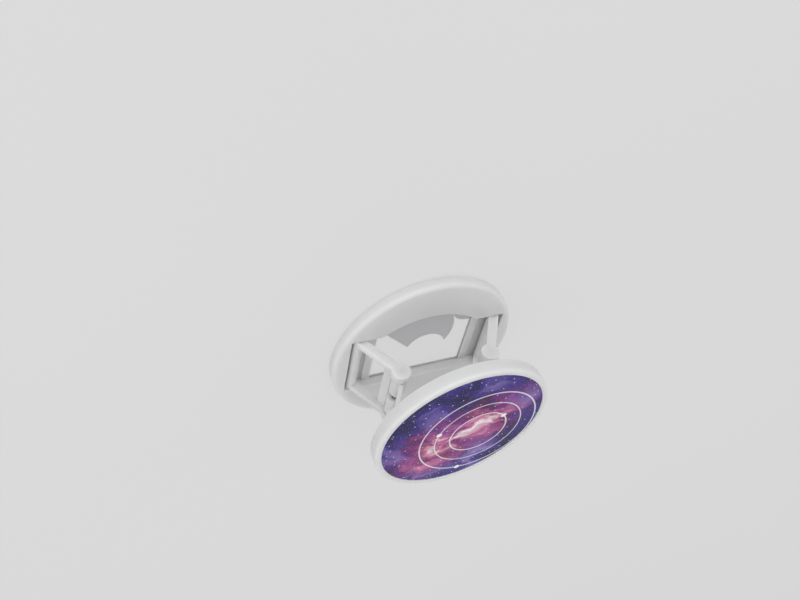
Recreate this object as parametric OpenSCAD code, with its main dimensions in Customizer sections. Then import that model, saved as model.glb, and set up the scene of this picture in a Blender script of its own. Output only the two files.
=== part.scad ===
// Folding phone grip, standing open.
// Origin: centre of the adhesive face. +Z runs from the base to the printed disc.
// The hinge axes run along Y. The left legs stand at -X and the right legs at +X.

/* [Base] */
// How much wider the base plate is than the disc
base_extra = 3.4; // [2.8:0.1:8]
// Thickness of the base plate
base_t = 2.3; // [2.2:0.05:3]
// Radius of the rounded upper edge of the base plate
base_edge_r = 0.9; // [0.3:0.1:1.4]
// Gap between the legs and each long side of the window
window_side_gap = 0.25; // [0.15:0.05:0.8]
// How far the curved near edge of the window lies from the middle
scoop_reach = 11.15; // [8.6:0.05:13]
// Radius of the curved near edge of the window
scoop_r = 16; // [13:0.5:24]
// Gap between a leg barrel and the end wall of the window, the slot seen from above
slot_gap = 0.6; // [0.3:0.05:0.9]
// Thickness of the thin floor under each hinge
floor_t = 0.2; // [0.1:0.05:0.25]
// Width of the low rail at the inner edge of that floor
rail_w = 1.7; // [0.8:0.1:2.2]
// Height of the low rail above the adhesive pad
rail_t = 0.5; // [0.3:0.05:0.55]
// Distance from a leg barrel to its rail
rail_gap = 1.6; // [0.5:0.1:2]

/* [Adhesive pad] */
// Thickness of the adhesive pad
pad_t = 0.3; // [0.2:0.05:1.5]
// How far the pad stays inside the edge of the base
pad_inset = 0.8; // [0.3:0.1:2]
// Radius of the tongue's round right side
tongue_r = 8.2; // [7.5:0.1:9]
// Middle of the tongue's round right side, along Y from the window's near edge
tongue_middle = [-1.4, -7.15]; // [-9:0.05:0]
// Inner end of the tongue's straight left side, along Y from the window's near edge
tongue_tip = [-2.7, -11.35]; // [-12:0.05:0]
// Outer end of the tongue's straight left side, along Y from the window's near edge
tongue_root = [-10.5, -3.75]; // [-12:0.05:0]
// Radius of the round bite between the tongue's two tips
bite_r = 4.4; // [2.5:0.1:5]
// Middle of the bite, along Y from the window's near edge
bite_middle = [1.45, -12.85]; // [-14:0.05:6]
// Radius of the small lobe in the right corner
lobe_r = 3.9; // [2:0.1:4.5]
// Middle of the lobe, from the rail's inner edge and the window's near edge
lobe_middle = [-0.85, -1.95]; // [-3:0.05:1]

/* [Hinge line] */
// How far the base hinges lie above the middle of the base plate
hinge_lift = 0.2; // [0.15:0.05:0.4]
// Outer diameter of the hinge barrels
barrel_d = 2.1; // [1.9:0.05:2.3]
// Diameter of the hinge pins
pin_d = 1.0; // [0.8:0.05:1.2]
// Radial clearance of a pin in a leg that turns on it
run_fit = 0.05; // [0.02:0.01:0.1]
// Radial clearance of a pin where it is held
hold_fit = 0.01; // [0.005:0.005:0.02]
// How far a pin reaches into its seat in the base
pin_reach = 2; // [1:0.1:2.5]
// Free length at each end of a pin
pin_play = 0.1; // [0.05:0.05:0.2]
// Clearance between faces that slide past each other
side_gap = 0.2; // [0.1:0.05:0.3]

/* [Legs] */
// Distance along Y over the outer faces of a lower leg
leg_w = 14.6; // [14:0.1:15]
// Width of each arm of a lower leg
arm_w = 1.1; // [0.9:0.1:1.5]
// Thickness of the arms
arm_t = 2; // [1.6:0.1:2.1]
// How far the knee stands in from the hinges when open
knee_in = 5.3; // [4:0.1:6]
// Radius of the knee ears of a lower leg
ear_r = 1.9; // [1.6:0.05:2]
// Length of each ear along the pin
ear_l = 1.6; // [1.5:0.1:2]
// Wall that closes the outer end of each ear's bore
ear_skin = 0.4; // [0.3:0.05:0.6]
// Height of the web between the arms of a lower leg
web_h = 1.8; // [1:0.1:3]
// Gap between a web and the knee knuckles
web_gap = 0.4; // [0.3:0.1:1]
// Diameter of the two knee knuckles of an upper leg
knuckle_d = 3; // [2.4:0.1:3.4]
// Length of each knee knuckle
knuckle_l = 4.6; // [3:0.1:5]
// Width of each arm of an upper leg
strut_w = 1.7; // [1.2:0.1:2.5]
// Gap from the middle plane of a leg to the arms and webs that fold past each other
half_gap = 0.12; // [0.1:0.01:0.2]

/* [Disc] */
// Diameter of the disc over its rim
disc_d = 35.6; // [35.5:0.1:44]
// Height of the rim wall
rim_h = 2.75; // [2.6:0.05:4]
// Width of the rim round the print
rim_w = 1.2; // [1:0.1:2.4]
// Height of the rim above the print
lip_h = 0.25; // [0.1:0.05:0.6]
// Radius of the rim's rounded upper edge
rim_edge_r = 0.6; // [0.3:0.1:0.8]
// Wall of the cap under the print
cap_t = 0.6; // [0.4:0.05:1]
// Wall of the rim
rim_wall = 0.6; // [0.5:0.05:0.6]
// Radial clearance of the carrier in the rim, and of the print in its recess
seat_gap = 0.05; // [0.03:0.01:0.1]
// Thickness of the printed insert
print_t = 0.35; // [0.2:0.05:0.8]
// Thickness of the film that holds the insert
film_t = 0.1; // [0.05:0.05:0.3]
// How far the film stays inside the edge of the insert
film_inset = 0.4; // [0.2:0.1:1]
// How far the carrier plate sits up inside the rim
carrier_inset = 0.2; // [0.1:0.05:0.3]
// Wall of the carrier at the corners of its well
well_wall = 0.125; // [0.1:0.005:0.3]
// Half length of the wide middle of the carrier's well, where the folded knees go
knee_well_x = 8.5; // [7.5:0.1:10]
// Width along Y of each hinge lug
lug_w = 1.8; // [1.5:0.05:1.85]
// Radius of the lug round its pin
lug_r = 1.3; // [1.15:0.05:1.35]

/* [Open height] */
// Height between the base hinges and the disc hinges when the grip is open
open_h = 18.15; // [16:0.05:21]

/* [Hidden] */
$fn = 96;
LEFT = -1;
RIGHT = 1;
// How deep one form reaches into another that it joins, and how far a cut runs past a face
root = 0.2;
past = 1;

base_d = disc_d + base_extra;
base_top = pad_t + base_t;
base_hinge_z = pad_t + base_t / 2 + hinge_lift;
disc_hinge_z = base_hinge_z + open_h;
barrel_r = barrel_d / 2;
carrier_r = disc_d / 2 - rim_wall - seat_gap;
strut_out = leg_w / 2 - ear_l - side_gap;
lug_in = strut_out + side_gap;
// The upper legs' barrels reach as far out as the round carrier lets them
hinge_x = sqrt(carrier_r * carrier_r - lug_in * lug_in) - well_wall - side_gap - barrel_r;
knee_z = (base_hinge_z + disc_hinge_z) / 2;
knee_x = hinge_x - knee_in;
link_l = norm([knee_in, open_h / 2]);
lean = atan2(knee_in, open_h / 2);

slot_x = hinge_x + barrel_r + slot_gap;
window_y = leg_w / 2 + window_side_gap;
scoop_cy = scoop_reach - scoop_r;
rail_out = hinge_x - barrel_r - rail_gap;
rail_in = rail_out - rail_w;

half_t = arm_t / 2 - half_gap;
web_top = link_l - knuckle_d / 2 - web_gap;

ceiling_z = disc_hinge_z + barrel_r + side_gap / 2;
film_z = ceiling_z + cap_t;
print_z = film_z + film_t;
rim_top = print_z + print_t + lip_h;
rim_bottom = rim_top - rim_h;
print_r = disc_d / 2 - rim_w;

module white() { color([0.93, 0.93, 0.94]) children(); }
module steel() { color([0.7, 0.71, 0.73]) children(); }

// Round bar or bore along Y, centred on y = 0
module bar_y(d, length) {
    rotate([90, 0, 0]) cylinder(d = d, h = length, center = true);
}

// Quarter-round points from the outer wall to the top face
function round_edge(r, z, e) = [for (a = [0 : 15 : 90]) [r - e + e * cos(a), z - e + e * sin(a)]];

// Window of the base seen from above: the straight well for the legs and the curved scoop
module window_outline() {
    square([2 * slot_x, 2 * window_y], center = true);
    intersection() {
        translate([0, scoop_cy]) circle(r = scoop_r, $fn = 180);
        translate([-rail_out, 0]) square([2 * rail_out, scoop_reach + past]);
    }
}

// Bar across one end of the window on the pad, from x_in to x_out
module cross_bar(side, x_in, x_out, height) {
    translate([side * (x_in + x_out) / 2, 0, pad_t + height / 2])
        cube([x_out - x_in, 2 * (window_y + root), height], center = true);
}

module base_plate() {
    white() {
        difference() {
            rotate_extrude($fn = 180)
                polygon(concat([[0, pad_t], [base_d / 2, pad_t]],
                               round_edge(base_d / 2, base_top, base_edge_r),
                               [[0, base_top]]));
            translate([0, 0, pad_t - past]) linear_extrude(base_t + 2 * past) window_outline();
            for (side = [LEFT, RIGHT])
                translate([side * hinge_x, 0, base_hinge_z])
                    bar_y(pin_d + 2 * hold_fit, 2 * (window_y + pin_reach));
        }
        for (side = [LEFT, RIGHT]) {
            cross_bar(side, rail_in, slot_x + root, floor_t);
            cross_bar(side, rail_in, rail_out, rail_t);
        }
    }
}

// Die-cut tongue that shows inside the window, and the lobe beside it, drawn from the near edge
module tongue_outline() {
    translate([0, scoop_reach]) {
        difference() {
            intersection() {
                translate(tongue_middle) circle(r = tongue_r);
                polygon([tongue_tip, tongue_root, [tongue_root.x, past], [rail_in, past],
                         [rail_in, bite_middle.y - bite_r], [bite_middle.x, bite_middle.y - bite_r]]);
            }
            translate(bite_middle) circle(r = bite_r);
        }
        translate([rail_in, 0] + lobe_middle) circle(r = lobe_r);
    }
}

module adhesive_pad() {
    color([0.62, 0.62, 0.64])
        linear_extrude(pad_t)
            difference() {
                circle(r = base_d / 2 - pad_inset, $fn = 180);
                difference() {
                    intersection() {
                        window_outline();
                        square([2 * rail_in, 2 * (scoop_reach + past)], center = true);
                    }
                    tongue_outline();
                }
            }
}

module base_pin(side) {
    steel()
        translate([side * hinge_x, 0, base_hinge_z]) bar_y(pin_d, 2 * (window_y + pin_reach - pin_play));
}

// Places a leg drawn along +Z from its hinge, leaning in by a over the left or right hinge
module at_hinge(side, z, a) {
    translate([side * hinge_x, 0, z]) rotate([0, -side * a, 0]) children();
}

// Slab of half an arm's thickness, on the outer side of the leg's middle plane or the inner side
module half_slab(x_sign, y0, z0, width, height) {
    translate([x_sign > 0 ? half_gap : -arm_t / 2, y0, z0]) cube([half_t, width, height]);
}

module lower_leg(side) {
    white()
        at_hinge(side, base_hinge_z, lean)
            difference() {
                union() {
                    bar_y(barrel_d, leg_w);
                    for (end = [-1, 1]) {
                        translate([-arm_t / 2, end * (leg_w - arm_w) / 2 - arm_w / 2, 0])
                            cube([arm_t, arm_w, link_l]);
                        translate([0, end * (leg_w - ear_l) / 2, link_l]) bar_y(2 * ear_r, ear_l);
                    }
                    half_slab(-side, -(leg_w - arm_w) / 2, web_top - web_h, leg_w - arm_w, web_h);
                }
                bar_y(pin_d + 2 * run_fit, leg_w + past);
                translate([0, 0, link_l]) bar_y(pin_d + 2 * hold_fit, leg_w - 2 * ear_skin);
            }
}

module knee_pin(side) {
    steel()
        translate([side * knee_x, 0, knee_z]) bar_y(pin_d, leg_w - 2 * (ear_skin + pin_play));
}

module upper_leg(side) {
    white()
        at_hinge(side, disc_hinge_z, -lean)
            mirror([0, 0, 1])
                difference() {
                    union() {
                        bar_y(barrel_d, 2 * strut_out);
                        for (end = [-1, 1]) {
                            translate([0, end * (strut_out - knuckle_l / 2), link_l]) bar_y(knuckle_d, knuckle_l);
                            half_slab(-side, end * (strut_out - strut_w / 2) - strut_w / 2, 0, strut_w, link_l);
                        }
                    }
                    for (z = [0, link_l])
                        translate([0, 0, z]) bar_y(pin_d + 2 * run_fit, leg_w);
                }
}

module disc_pin(side) {
    steel()
        translate([side * hinge_x, 0, disc_hinge_z]) bar_y(pin_d, 2 * (lug_in + lug_w - pin_play));
}

// Well of the carrier seen from below: narrow over the upper legs, wide where the knees fold in
module well_outline() {
    square([2 * (hinge_x + barrel_r + side_gap), 2 * lug_in], center = true);
    square([2 * knee_well_x, 2 * window_y], center = true);
}

module hinge_carrier() {
    plate_z = rim_bottom + carrier_inset;
    lug_z = disc_hinge_z - lug_r;
    white()
        difference() {
            union() {
                translate([0, 0, plate_z])
                    difference() {
                        cylinder(r = carrier_r, h = ceiling_z - plate_z, $fn = 180);
                        translate([0, 0, -past]) linear_extrude(rim_h + past) well_outline();
                    }
                intersection() {
                    for (side = [LEFT, RIGHT], end = [-1, 1])
                        translate([side * hinge_x, end * (lug_in + lug_w / 2), disc_hinge_z])
                            bar_y(2 * lug_r, lug_w);
                    translate([0, 0, lug_z]) cylinder(r = carrier_r, h = ceiling_z - lug_z, $fn = 180);
                }
            }
            for (side = [LEFT, RIGHT])
                translate([side * hinge_x, 0, disc_hinge_z])
                    bar_y(pin_d + 2 * hold_fit, 2 * (lug_in + lug_w));
        }
}

module disc_cap() {
    white()
        rotate_extrude($fn = 180)
            polygon(concat([[0, ceiling_z], [disc_d / 2 - rim_wall, ceiling_z], [disc_d / 2 - rim_wall, rim_bottom],
                            [disc_d / 2, rim_bottom]],
                           round_edge(disc_d / 2, rim_top, rim_edge_r),
                           [[print_r, rim_top], [print_r, film_z], [0, film_z]]));
}

module insert_film() {
    color([0.85, 0.85, 0.8])
        translate([0, 0, film_z]) cylinder(r = print_r - film_inset, h = film_t, $fn = 180);
}

module printed_insert() {
    color([0.3, 0.24, 0.55])
        translate([0, 0, print_z]) cylinder(r = print_r - seat_gap, h = print_t, $fn = 180);
}

adhesive_pad();
base_plate();
base_pin(LEFT);  // left_base_pin
base_pin(RIGHT);  // right_base_pin
lower_leg(LEFT);  // left_lower_leg
lower_leg(RIGHT);  // right_lower_leg
knee_pin(LEFT);  // left_knee_pin
knee_pin(RIGHT);  // right_knee_pin
upper_leg(LEFT);  // left_upper_leg
upper_leg(RIGHT);  // right_upper_leg
disc_pin(LEFT);  // left_disc_pin
disc_pin(RIGHT);  // right_disc_pin
hinge_carrier();
disc_cap();
insert_film();
printed_insert();
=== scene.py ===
import math

import bmesh
import bpy
from mathutils import Matrix, Vector


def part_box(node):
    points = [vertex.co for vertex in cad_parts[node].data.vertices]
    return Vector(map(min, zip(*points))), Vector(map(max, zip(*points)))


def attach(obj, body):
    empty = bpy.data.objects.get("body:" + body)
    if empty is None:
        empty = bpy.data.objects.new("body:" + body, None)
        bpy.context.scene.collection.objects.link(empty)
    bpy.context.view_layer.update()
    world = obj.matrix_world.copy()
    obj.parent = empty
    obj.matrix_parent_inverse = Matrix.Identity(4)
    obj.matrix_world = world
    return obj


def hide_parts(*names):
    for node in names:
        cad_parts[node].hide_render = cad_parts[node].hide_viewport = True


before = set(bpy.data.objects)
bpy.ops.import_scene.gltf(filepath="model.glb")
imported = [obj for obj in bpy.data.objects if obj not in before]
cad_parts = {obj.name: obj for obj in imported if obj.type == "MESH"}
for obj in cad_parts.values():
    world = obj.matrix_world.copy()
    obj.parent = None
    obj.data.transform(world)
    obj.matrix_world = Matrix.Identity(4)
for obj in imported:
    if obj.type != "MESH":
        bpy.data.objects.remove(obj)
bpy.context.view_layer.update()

scene = bpy.context.scene


# Camera. The photograph looks at the grip from its near side and a little from the left, with the
# disc towards the viewer and lower than the base. The two directions are those of the picture.
MM = 0.001
EYE = Vector((-58.0, 115.8, 83.8)) * MM
VIEW_FORWARD = Vector((0.3629, -0.7173, -0.5949))
VIEW_RIGHT = Vector((0.9168, 0.1607, 0.3655))
PICTURE_WIDTH_PX = 800
FOCAL_LENGTH_PX = 746
SENSOR_WIDTH_MM = 36
NEAR_CLIP = 5 * MM
FAR_CLIP = 10_000 * MM

camera = bpy.data.objects.new("photo_camera", bpy.data.cameras.new("photo_camera"))
camera.data.sensor_width = SENSOR_WIDTH_MM
camera.data.lens = SENSOR_WIDTH_MM * FOCAL_LENGTH_PX / PICTURE_WIDTH_PX
camera.data.clip_start = NEAR_CLIP
camera.data.clip_end = FAR_CLIP
back = -VIEW_FORWARD.normalized()
up = back.cross(VIEW_RIGHT).normalized()
right = up.cross(back)
turn = Matrix((right, up, back)).transposed()
camera.matrix_world = Matrix.Translation(EYE) @ turn.to_4x4()
scene.collection.objects.link(camera)
scene.camera = camera


# Light. A pale room all round, one large soft lamp over the near side, where the photograph has its
# light, and a weak one from the left.
ROOM_LIGHT = 0.68

# A row gives a lamp's name, its place and side in mm, and how bright it makes a white surface.
LAMPS = [
    ("window_lamp", (-60, 420, 160), 420, 0.34),
    ("left_lamp", (-380, 60, 200), 360, 0.12),
]


def lamp_power(light, distance, side):
    """Watts of a square lamp that gives a facing white surface the brightness `light`: the surface
    sees the lamp's area over the square of its distance, and reflects that share evenly."""
    share = side * side / (math.pi * distance * distance)
    return light * math.pi * side * side / share


def soft_lamp(name, place_mm, side_mm, light):
    """A square lamp that faces the grip from its place."""
    place = Vector(place_mm) * MM
    side = side_mm * MM
    data = bpy.data.lights.new(name, "AREA")
    data.shape = "SQUARE"
    data.size = side
    data.energy = lamp_power(light, place.length, side)
    lamp = bpy.data.objects.new(name, data)
    lamp.location = place
    lamp.rotation_mode = "QUATERNION"
    lamp.rotation_quaternion = (-place).to_track_quat("-Z", "Y")
    scene.collection.objects.link(lamp)


for lamp_row in LAMPS:
    soft_lamp(*lamp_row)

room = bpy.data.worlds.new("pale_room")
room.use_nodes = True
room_light = room.node_tree.nodes["Background"]
room_light.inputs["Color"].default_value = (1, 1, 1, 1)
room_light.inputs["Strength"].default_value = ROOM_LIGHT
scene.world = room
scene.view_settings.view_transform = "Standard"


# Floor. A smooth pale grey sheet that the adhesive pad stands on. To the camera and in reflections
# most of its grey is its own and not the light's, so that it is as pale in the base's window as
# outside it.
FLOOR_GREYS = [(0.3, (0.74, 0.74, 0.745)), (0.7, (0.75, 0.75, 0.755))]
FLOOR_CLOUDS_PER_M = 6
FLOOR_ROUGHNESS = 0.6
FLOOR_GLOSS = 0.2
FLOOR_HALF_WIDTH = 1500 * MM
FLOOR_DROP = 0.05 * MM
FLOOR_OWN_SHARE = 0.75
FLOOR_OWN_LIGHT = 0.975


def new_material(name, colour, roughness):
    """A node material with its node tree, its shader and its Object coordinates, for wiring it."""
    material = bpy.data.materials.new(name)
    material.use_nodes = True
    tree = material.node_tree
    shader = tree.nodes["Principled BSDF"]
    shader.inputs["Base Color"].default_value = (*colour, 1)
    shader.inputs["Roughness"].default_value = roughness
    place = tree.nodes.new("ShaderNodeTexCoord")
    return material, tree, shader, place.outputs["Object"]


def noise(tree, coords, scale, detail=3, stretch=None):
    """Noise whose features are 1/scale metres across, optionally stretched along the axes."""
    node = tree.nodes.new("ShaderNodeTexNoise")
    node.inputs["Scale"].default_value = scale
    node.inputs["Detail"].default_value = detail
    if stretch:
        mapping = tree.nodes.new("ShaderNodeMapping")
        mapping.inputs["Scale"].default_value = stretch
        tree.links.new(coords, mapping.inputs["Vector"])
        coords = mapping.outputs["Vector"]
    tree.links.new(coords, node.inputs["Vector"])
    return node.outputs["Fac"]


def ramp(tree, value, stops):
    """Colours along a value, given as (position, colour) pairs."""
    node = tree.nodes.new("ShaderNodeValToRGB")
    elements = node.color_ramp.elements
    while len(elements) < len(stops):
        elements.new(0.5)
    for element, (position, colour) in zip(elements, stops):
        element.position = position
        element.color = (*colour, 1)
    tree.links.new(value, node.inputs["Fac"])
    return node.outputs["Color"]


def arithmetic(tree, operation, *values, clamp=False):
    """One step of arithmetic on sockets and numbers."""
    node = tree.nodes.new("ShaderNodeMath")
    node.operation = operation
    node.use_clamp = clamp
    for socket, value in zip(node.inputs, values):
        if isinstance(value, (int, float)):
            socket.default_value = value
        else:
            tree.links.new(value, socket)
    return node.outputs[0]


floor_mesh = bpy.data.meshes.new("floor")
half = FLOOR_HALF_WIDTH
corners = [(-half, -half), (half, -half), (half, half), (-half, half)]
floor_mesh.from_pydata([(x, y, -FLOOR_DROP) for x, y in corners], [], [(0, 1, 2, 3)])
floor = bpy.data.objects.new("floor", floor_mesh)
scene.collection.objects.link(floor)
floor_finish, tree, shader, coords = new_material("pale_floor", FLOOR_GREYS[1][1], FLOOR_ROUGHNESS)
grey = ramp(tree, noise(tree, coords, FLOOR_CLOUDS_PER_M), FLOOR_GREYS)
tree.links.new(grey, shader.inputs["Base Color"])
shader.inputs["Specular IOR Level"].default_value = FLOOR_GLOSS
own_grey = tree.nodes.new("ShaderNodeEmission")
own_grey.inputs["Strength"].default_value = FLOOR_OWN_LIGHT
tree.links.new(grey, own_grey.inputs["Color"])
ray = tree.nodes.new("ShaderNodeLightPath").outputs
seen = arithmetic(tree, "MAXIMUM", ray["Is Camera Ray"], ray["Is Glossy Ray"])
seen = arithmetic(tree, "MAXIMUM", seen, ray["Is Transmission Ray"])
both = tree.nodes.new("ShaderNodeMixShader")
tree.links.new(arithmetic(tree, "MULTIPLY", seen, FLOOR_OWN_SHARE), both.inputs["Fac"])
tree.links.new(shader.outputs["BSDF"], both.inputs[1])
tree.links.new(own_grey.outputs["Emission"], both.inputs[2])
tree.links.new(both.outputs["Shader"], tree.nodes["Material Output"].inputs["Surface"])
floor_mesh.materials.append(floor_finish)


# Adhesive pad. A grey foam sheet with glue on both sides, die-cut to the base's round outline, with
# a tongue that shows inside the window. Cells of the foam show as fine specks.
PAD_GREYS = [(0.35, (0.63, 0.63, 0.64)), (0.65, (0.68, 0.68, 0.69))]
PAD_ROUGHNESS = (0.65, 0.85)
FOAM_CELL = 0.12 * MM
FOAM_CELL_DEPTH = 0.02 * MM
NOISE_LOW, NOISE_HIGH = 0.3, 0.7


def spread(tree, value, low, high):
    """The middle values of a noise spread from low to high, and the rarer ones held there."""
    node = tree.nodes.new("ShaderNodeMapRange")
    node.inputs["From Min"].default_value = NOISE_LOW
    node.inputs["From Max"].default_value = NOISE_HIGH
    node.inputs["To Min"].default_value = low
    node.inputs["To Max"].default_value = high
    tree.links.new(value, node.inputs["Value"])
    return node.outputs["Result"]


def bumps(tree, shader, value, height):
    """A bump on the shader, whose value 0 to 1 stands for the height in metres."""
    node = tree.nodes.new("ShaderNodeBump")
    node.inputs["Strength"].default_value = 1
    node.inputs["Distance"].default_value = height
    tree.links.new(value, node.inputs["Height"])
    tree.links.new(node.outputs["Normal"], shader.inputs["Normal"])


def finish_node(node, finish):
    """Gives a CAD node its material."""
    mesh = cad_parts[node].data
    mesh.materials.clear()
    mesh.materials.append(finish)


foam, tree, shader, coords = new_material("grey_foam", PAD_GREYS[1][1], PAD_ROUGHNESS[0])
cells = noise(tree, coords, 1 / FOAM_CELL, detail=2)
tree.links.new(ramp(tree, cells, PAD_GREYS), shader.inputs["Base Color"])
tree.links.new(spread(tree, cells, *PAD_ROUGHNESS), shader.inputs["Roughness"])
bumps(tree, shader, cells, FOAM_CELL_DEPTH)
finish_node("adhesive_pad", foam)


# White mouldings. The base plate, the four legs, the carrier and the cap are shot in white plastic in
# a fine-textured steel mould. Each shows its node's own surface. The base and the legs have their
# outer outlines rounded, the carrier and the cap every sharp edge.
PLASTIC_WHITES = [(0.35, (0.75, 0.75, 0.755)), (0.65, (0.765, 0.765, 0.77))]
SATIN_ROUGHNESS = 0.38
GLOSSY_ROUGHNESS = 0.32
ROUGHNESS_VARIES = 0.03
PLASTIC_IOR = 1.5
LIGHT_SHARE = 0.9
LIGHT_DEPTH = 1.0 * MM
MOULD_GRAIN = 0.2 * MM
MOULD_GRAIN_DEPTH = 0.0006 * MM
FLOW_MARK = 9 * MM
RUBBED_PATCH = FLOW_MARK / 3
Y_AXIS, Z_AXIS = 1, 2
KNUCKLE_END = 0.9 * MM
MERGE_WITHIN = 0.002 * MM
IN_PLANE = 0.02 * MM
SAME_PLANE = math.radians(0.5)
SHARP_EDGE = math.radians(32)
RADIUS_STEPS = 3


def moulded_plastic(name, roughness):
    """White moulded plastic: faint flow marks in its colour, uneven gloss, the mould's fine
    spark-worn grain as a bump of under a micron, and light that goes a little way into it."""
    plastic, tree, shader, coords = new_material(name, PLASTIC_WHITES[1][1], roughness)
    marks = noise(tree, coords, 1 / FLOW_MARK, detail=4)
    tree.links.new(ramp(tree, marks, PLASTIC_WHITES), shader.inputs["Base Color"])
    rubbed = noise(tree, coords, 1 / RUBBED_PATCH, detail=2)
    uneven = spread(tree, rubbed, roughness - ROUGHNESS_VARIES, roughness + ROUGHNESS_VARIES)
    tree.links.new(uneven, shader.inputs["Roughness"])
    bumps(tree, shader, noise(tree, coords, 1 / MOULD_GRAIN, detail=1), MOULD_GRAIN_DEPTH)
    shader.inputs["IOR"].default_value = PLASTIC_IOR
    shader.inputs["Subsurface Weight"].default_value = LIGHT_SHARE
    shader.inputs["Subsurface Radius"].default_value = (1, 1, 1)
    shader.inputs["Subsurface Scale"].default_value = LIGHT_DEPTH
    return plastic


def round_only(form, node, axis, inner):
    """Weighs the outlines of the faces that face along the axis at both ends of the node, or at the
    inner distance from its middle. Only they are rounded, and every other sharp edge stays sharp."""
    low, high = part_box(node)
    planes = [low[axis], high[axis], -inner, inner]
    rounded = form.edges.layers.float.new("bevel_weight_edge")
    for edge in form.edges:
        if edge.calc_face_angle(0) > SHARP_EDGE:
            outline = any(all(abs(v.co[axis] - at) < IN_PLANE for v in edge.verts) for at in planes)
            edge[rounded] = float(outline and edge.is_convex)
            edge.smooth = edge[rounded] > 0


def moulding(node, body, radius_mm, finish, axis=None, inner=0):
    """The node's surface with rounded edges: its loose triangles are merged, those in one plane are
    joined again, and each sharp edge gets a bevel of that radius, or where an axis is given only the
    outlines that round_only weighs."""
    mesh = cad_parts[node].data.copy()
    mesh.name = node + "_moulding"
    form = bmesh.new()
    form.from_mesh(mesh)
    bmesh.ops.remove_doubles(form, verts=form.verts, dist=MERGE_WITHIN)
    bmesh.ops.dissolve_limit(form, angle_limit=SAME_PLANE, verts=form.verts, edges=form.edges)
    for face in form.faces:
        face.smooth = True
    if axis:
        round_only(form, node, axis, inner)
    form.to_mesh(mesh)
    form.free()
    mesh.materials.clear()
    mesh.materials.append(finish)
    piece = bpy.data.objects.new(node + "_moulding", mesh)
    scene.collection.objects.link(piece)
    bevel = piece.modifiers.new("mould_radius", "BEVEL")
    bevel.width = radius_mm * MM
    bevel.segments = RADIUS_STEPS
    bevel.limit_method = "WEIGHT" if axis else "ANGLE"
    bevel.angle_limit = SHARP_EDGE
    bevel.use_clamp_overlap = not axis
    bevel.harden_normals = True
    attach(piece, body)
    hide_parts(node)


satin = moulded_plastic("satin_white_plastic", SATIN_ROUGHNESS)
glossy = moulded_plastic("glossy_white_plastic", GLOSSY_ROUGHNESS)

# A row gives the node, its body, its edge radius in mm, its finish, and round_only's axis and inner
# distance where only outlines are rounded.
MOULDINGS = [
    ("base_plate", "base", 0.15, glossy, Z_AXIS),
    ("left_lower_leg", "left_lower", 0.12, satin, Y_AXIS),
    ("right_lower_leg", "right_lower", 0.12, satin, Y_AXIS),
    ("left_upper_leg", "left_upper", 0.15, satin, Y_AXIS, KNUCKLE_END),
    ("right_upper_leg", "right_upper", 0.15, satin, Y_AXIS, KNUCKLE_END),
    ("hinge_carrier", "disc", 0.12, satin),
    ("disc_cap", "disc", 0.1, glossy),
]
for moulding_row in MOULDINGS:
    moulding(*moulding_row)


# Hinge pins. Six plain lengths of drawn steel wire, cut square: two in the base, two in the knees and
# two in the carrier. The drawing leaves fine lines along them.
WIRE_GREYS = [(0.35, (0.50, 0.51, 0.52)), (0.65, (0.66, 0.67, 0.68))]
WIRE_ROUGHNESS = (0.24, 0.4)
DRAWN_LINE = 0.05 * MM
DRAWN_LINE_DEPTH = 0.003 * MM
ALONG_THE_WIRE = (1, 0.02, 1)

wire, tree, shader, coords = new_material("drawn_steel", WIRE_GREYS[1][1], WIRE_ROUGHNESS[0])
shader.inputs["Metallic"].default_value = 1
lines = noise(tree, coords, 1 / DRAWN_LINE, detail=2, stretch=ALONG_THE_WIRE)
tree.links.new(ramp(tree, lines, WIRE_GREYS), shader.inputs["Base Color"])
tree.links.new(spread(tree, lines, *WIRE_ROUGHNESS), shader.inputs["Roughness"])
bumps(tree, shader, lines, DRAWN_LINE_DEPTH)
for place in ["base", "knee", "disc"]:
    for side in ["left", "right"]:
        finish_node(f"{side}_{place}_pin", wire)


# Insert film. The thin sheet of clear glue that holds the print in the cap. The print covers it, so
# it hardly shows.
GLUE_TINTS = [(0.3, (0.76, 0.76, 0.71)), (0.7, (0.82, 0.82, 0.78))]
GLUE_ROUGHNESS = 0.5
GLUE_CLOUD = 2.5 * MM
GLUE_CLOUD_DEPTH = 0.01 * MM

glue, tree, shader, coords = new_material("clear_glue_film", GLUE_TINTS[1][1], GLUE_ROUGHNESS)
clouds = noise(tree, coords, 1 / GLUE_CLOUD)
tree.links.new(ramp(tree, clouds, GLUE_TINTS), shader.inputs["Base Color"])
bumps(tree, shader, clouds, GLUE_CLOUD_DEPTH)
finish_node("insert_film", glue)


# Printed insert. A round of sheet plastic printed with a night sky, under a thin clear coat. The
# design is a plain one made for this part: clouds in indigo, violet and pink, stars, and thin orbits.
PRINT_RADIUS = (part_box("printed_insert")[1].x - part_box("printed_insert")[0].x) / 2
PRINT_GLOSS = 0.15
PRINT_ROUGHNESS = (0.18, 0.28)
GLOSS_PATCHES_PER_M = 700
COAT = 0.05
COAT_ROUGHNESS = 0.08
WAVES_PER_M = 900
WAVE_HEIGHT = 0.002 * MM
INDIGO = (0.006, 0.004, 0.060)
VIOLET = (0.045, 0.025, 0.26)
LAVENDER = (0.34, 0.24, 0.60)
MAGENTA = (0.40, 0.03, 0.22)
PINK = (0.82, 0.24, 0.44)
PALE_PINK = (0.97, 0.82, 0.86)
STAR_WHITE = (1.0, 0.97, 1.0)

print_finish, tree, shader, coords = new_material("printed_sky", VIOLET, PRINT_ROUGHNESS[0])
nodes, links = tree.nodes, tree.links


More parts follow.
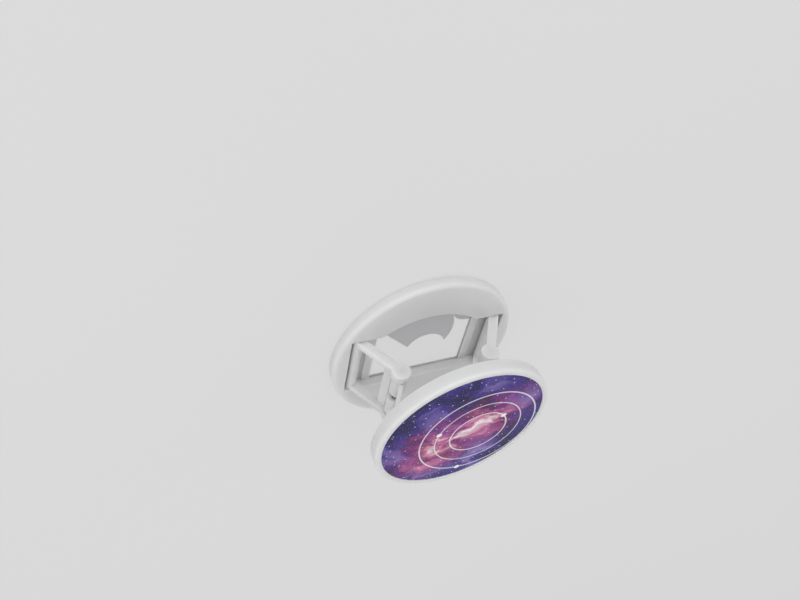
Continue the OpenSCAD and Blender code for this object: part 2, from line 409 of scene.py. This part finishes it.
def blend_colours(amount, under, over):
    """The colour over laid on the colour under, by an amount from 0 to 1."""
    node = nodes.new("ShaderNodeMix")
    node.data_type = "RGBA"
    node.clamp_result = True
    for name, value in (("Factor_Float", amount), ("A_Color", under), ("B_Color", over)):
        socket = next(s for s in node.inputs if s.identifier == name)
        if isinstance(value, tuple):
            socket.default_value = (*value, 1)
        else:
            links.new(value, socket)
    return next(s for s in node.outputs if s.identifier == "Result_Color")


def step_down(value, edge, softness):
    """1 below the edge and 0 above it, with a soft step between."""
    node = nodes.new("ShaderNodeMapRange")
    node.interpolation_type = "SMOOTHSTEP"
    node.inputs["From Min"].default_value = edge - softness
    node.inputs["From Max"].default_value = edge + softness
    node.inputs["To Min"].default_value = 1
    node.inputs["To Max"].default_value = 0
    links.new(value, node.inputs["Value"])
    return node.outputs["Result"]


def distance_to(point, from_coords):
    """How far the coordinates are from a point on the print."""
    node = nodes.new("ShaderNodeVectorMath")
    node.operation = "DISTANCE"
    links.new(from_coords, node.inputs[0])
    node.inputs[1].default_value = (*point, 0)
    return node.outputs["Value"]


# The design is worked out in disc radii on a flat plane, so that it has no depth. Where a soft edge
# is given as a pair, it is the edge's place and its softness.
flat = nodes.new("ShaderNodeMapping")
flat.inputs["Scale"].default_value = (1 / PRINT_RADIUS, 1 / PRINT_RADIUS, 0)
links.new(coords, flat.inputs["Vector"])
disc = flat.outputs["Vector"]

# The clouds are noise read through more noise, which draws them out into swirls.
SWIRLS = 1.7
SWIRL_PULL = (0.9, 0.9, 0)
CLOUDS = 1.9
CLOUD_COLOURS = [(0.40, INDIGO), (0.53, VIOLET), (0.70, LAVENDER)]
swirl = nodes.new("ShaderNodeTexNoise")
swirl.inputs["Scale"].default_value = SWIRLS
swirl.inputs["Detail"].default_value = 4
links.new(disc, swirl.inputs["Vector"])
pull = nodes.new("ShaderNodeVectorMath")
pull.operation = "MULTIPLY_ADD"
links.new(swirl.outputs["Color"], pull.inputs[0])
pull.inputs[1].default_value = SWIRL_PULL
links.new(disc, pull.inputs[2])
drawn = pull.outputs["Vector"]
sky = ramp(tree, noise(tree, drawn, CLOUDS, detail=9), CLOUD_COLOURS)

# A bright streaky cloud lies across the disc as a band from the lower left to the upper right.
BAND_TILT = math.radians(28)
BAND_PLACE = (0.42, 0.36, 0)
BAND_WIDTH = (0.36, 0.38)
BAND_LENGTH = (0.74, 0.52)
STREAKS = 4.2
STREAK_STRETCH = (0.55, 1.6, 1)
STREAK_LIGHT = (0.25, 1.3)
GLOW_COLOURS = [(0.0, VIOLET), (0.35, MAGENTA), (0.7, PINK), (0.96, PALE_PINK)]
GLOW_SPREAD = 0.7
band = nodes.new("ShaderNodeMapping")
band.vector_type = "TEXTURE"
band.inputs["Rotation"].default_value = (0, 0, BAND_TILT)
band.inputs["Location"].default_value = BAND_PLACE
links.new(drawn, band.inputs["Vector"])
parts = nodes.new("ShaderNodeSeparateXYZ")
links.new(band.outputs["Vector"], parts.inputs["Vector"])
across = step_down(arithmetic(tree, "ABSOLUTE", parts.outputs["Y"]), *BAND_WIDTH)
along = step_down(arithmetic(tree, "ABSOLUTE", parts.outputs["X"]), *BAND_LENGTH)
streaks = spread(tree, noise(tree, drawn, STREAKS, detail=8, stretch=STREAK_STRETCH), *STREAK_LIGHT)
glow = arithmetic(tree, "MULTIPLY", arithmetic(tree, "MULTIPLY", across, along), streaks, clamp=True)
cover = arithmetic(tree, "POWER", glow, GLOW_SPREAD, clamp=True)
sky = blend_colours(cover, sky, ramp(tree, glow, GLOW_COLOURS))

# Dust dims and brightens the whole sky.
DUST = 7
DUST_LIGHT = (0.72, 1.12)
shade = nodes.new("ShaderNodeVectorMath")
shade.operation = "SCALE"
links.new(sky, shade.inputs[0])
links.new(spread(tree, noise(tree, drawn, DUST, detail=10), *DUST_LIGHT), shade.inputs["Scale"])
sky = shade.outputs["Vector"]

# Stars are the middles of random cells, small and many or large and few. A row gives the cells to a
# disc radius, a star's radius in cells, and its brightness.
STARS = [(26, 0.07, 0.45), (9, 0.055, 0.9)]
STAR_SOFTNESS = 0.8
STAR_SHARE = 0.55
for cell_count, star_radius, brightness in STARS:
    cell = nodes.new("ShaderNodeTexVoronoi")
    cell.voronoi_dimensions = "2D"
    cell.inputs["Scale"].default_value = cell_count
    links.new(disc, cell.inputs["Vector"])
    star = step_down(cell.outputs["Distance"], star_radius, star_radius * STAR_SOFTNESS)
    draw = nodes.new("ShaderNodeSeparateXYZ")
    links.new(cell.outputs["Color"], draw.inputs["Vector"])
    chosen = arithmetic(tree, "GREATER_THAN", draw.outputs["X"], 1 - STAR_SHARE)
    star = arithmetic(tree, "MULTIPLY", star, chosen)
    sky = blend_colours(arithmetic(tree, "MULTIPLY", star, brightness), sky, STAR_WHITE)

# Three thin orbits round one point, each with its planet. A row gives the orbit's radius, half its
# line's width, and its planet's angle in degrees.
ORBIT_CENTRE = (0.22, -0.12)
ORBITS = [(0.36, 0.009, 40), (0.55, 0.007, 165), (0.74, 0.009, 262)]
ORBIT_BRIGHTNESS = 0.75
ORBIT_SOFTNESS = 0.004
PLANET = (0.035, 0.006)
orbit_distance = distance_to(ORBIT_CENTRE, disc)
for radius, half_width, planet_degrees in ORBITS:
    off_line = arithmetic(tree, "ABSOLUTE", arithmetic(tree, "SUBTRACT", orbit_distance, radius))
    line = step_down(off_line, half_width, ORBIT_SOFTNESS)
    angle = math.radians(planet_degrees)
    planet_x = ORBIT_CENTRE[0] + radius * math.cos(angle)
    planet_y = ORBIT_CENTRE[1] + radius * math.sin(angle)
    planet = step_down(distance_to((planet_x, planet_y), disc), *PLANET)
    line = arithmetic(tree, "MULTIPLY", line, ORBIT_BRIGHTNESS)
    sky = blend_colours(arithmetic(tree, "MAXIMUM", line, planet), sky, STAR_WHITE)

links.new(sky, shader.inputs["Base Color"])
shader.inputs["Specular IOR Level"].default_value = PRINT_GLOSS
shader.inputs["Coat Weight"].default_value = COAT
shader.inputs["Coat Roughness"].default_value = COAT_ROUGHNESS
patches = spread(tree, noise(tree, coords, GLOSS_PATCHES_PER_M), *PRINT_ROUGHNESS)
links.new(patches, shader.inputs["Roughness"])
bumps(tree, shader, noise(tree, coords, WAVES_PER_M, detail=2), WAVE_HEIGHT)
finish_node("printed_insert", print_finish)
